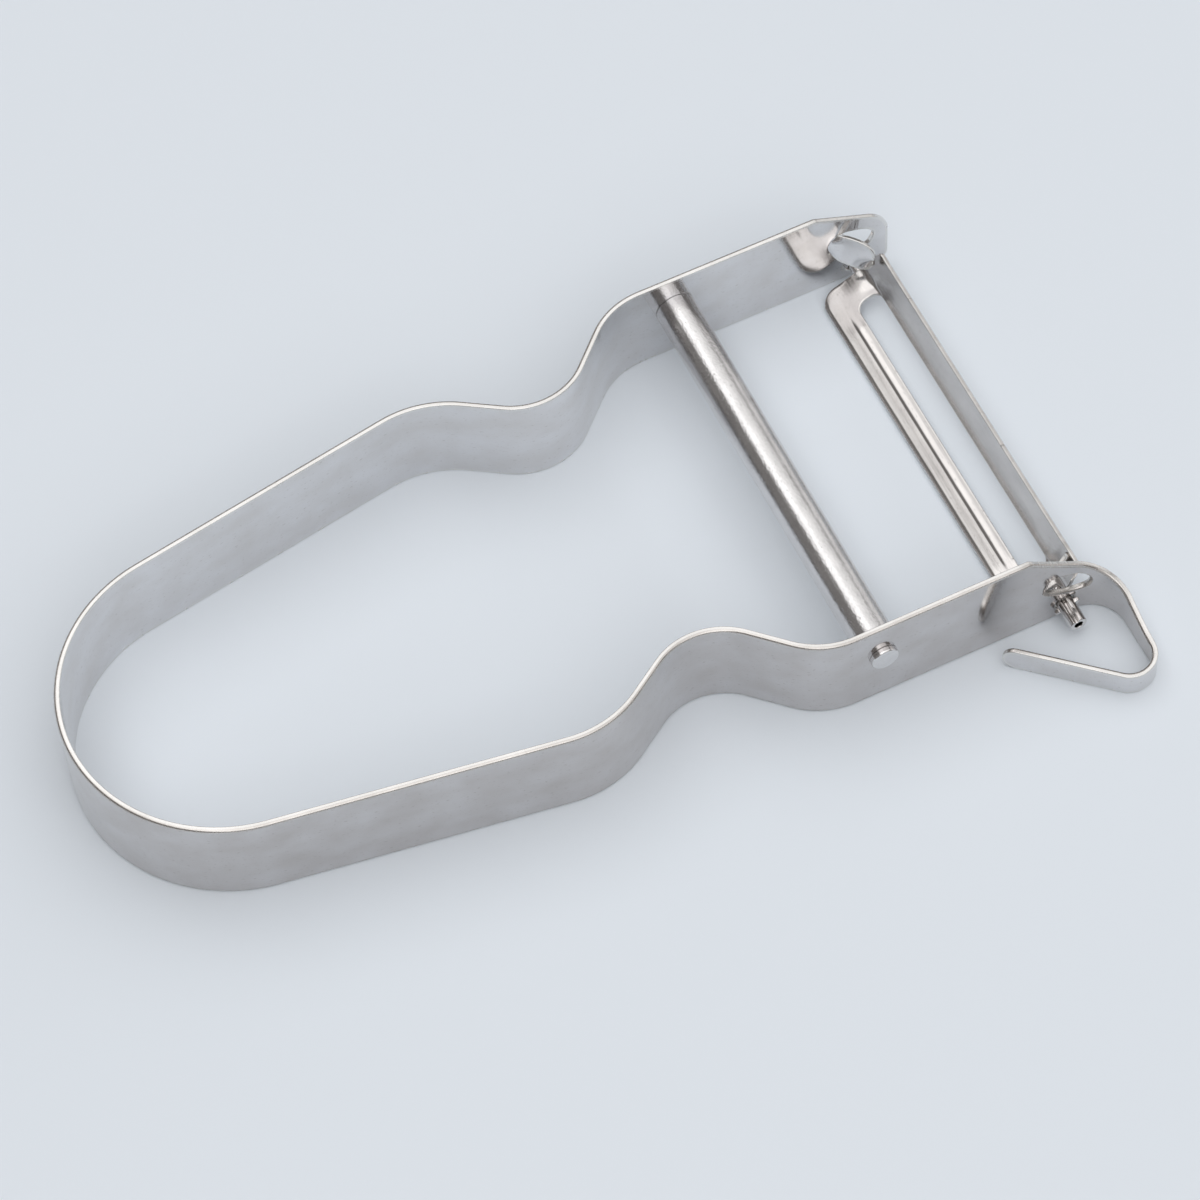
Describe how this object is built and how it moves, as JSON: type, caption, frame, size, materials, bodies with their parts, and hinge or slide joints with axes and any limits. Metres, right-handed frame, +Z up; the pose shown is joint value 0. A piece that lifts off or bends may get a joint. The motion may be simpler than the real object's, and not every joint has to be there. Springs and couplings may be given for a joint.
{
  "type": "vegetable peeler",
  "caption": "Y-shaped peeler bent from one steel strip, with a riveted crossbar, a slotted blade that swings on pins between the arms, and an eye-gouging hook past one arm.",
  "frame": {"origin": "the middle of the strip at the handle's butt, on the lower edge that the peeler lies on", "axes": "+X from the butt to the head, +Y to the arm without the hook, +Z up"},
  "size_m": [0.1117, 0.0672, 0.013],
  "materials": {
    "frame_steel": "satin, with polished cut edges",
    "sleeve_steel": "drawn tube, fine grain along its length",
    "rivet_steel": "polished head",
    "blade_steel": "polished"
  },
  "bodies": {
    "frame": {"frame_strip": "frame_steel", "crossbar_sleeve": "sleeve_steel", "crossbar_rivet": "rivet_steel"},
    "blade": {"swivel_blade": "blade_steel"}
  },
  "joints": [
    {"name": "blade_swivel", "type": "hinge", "parent": "frame", "child": "blade", "pos_m": [0.10535, 0, 0.0022], "axis": [0, 1, 0], "range_deg": [0, 82]}
  ]
}
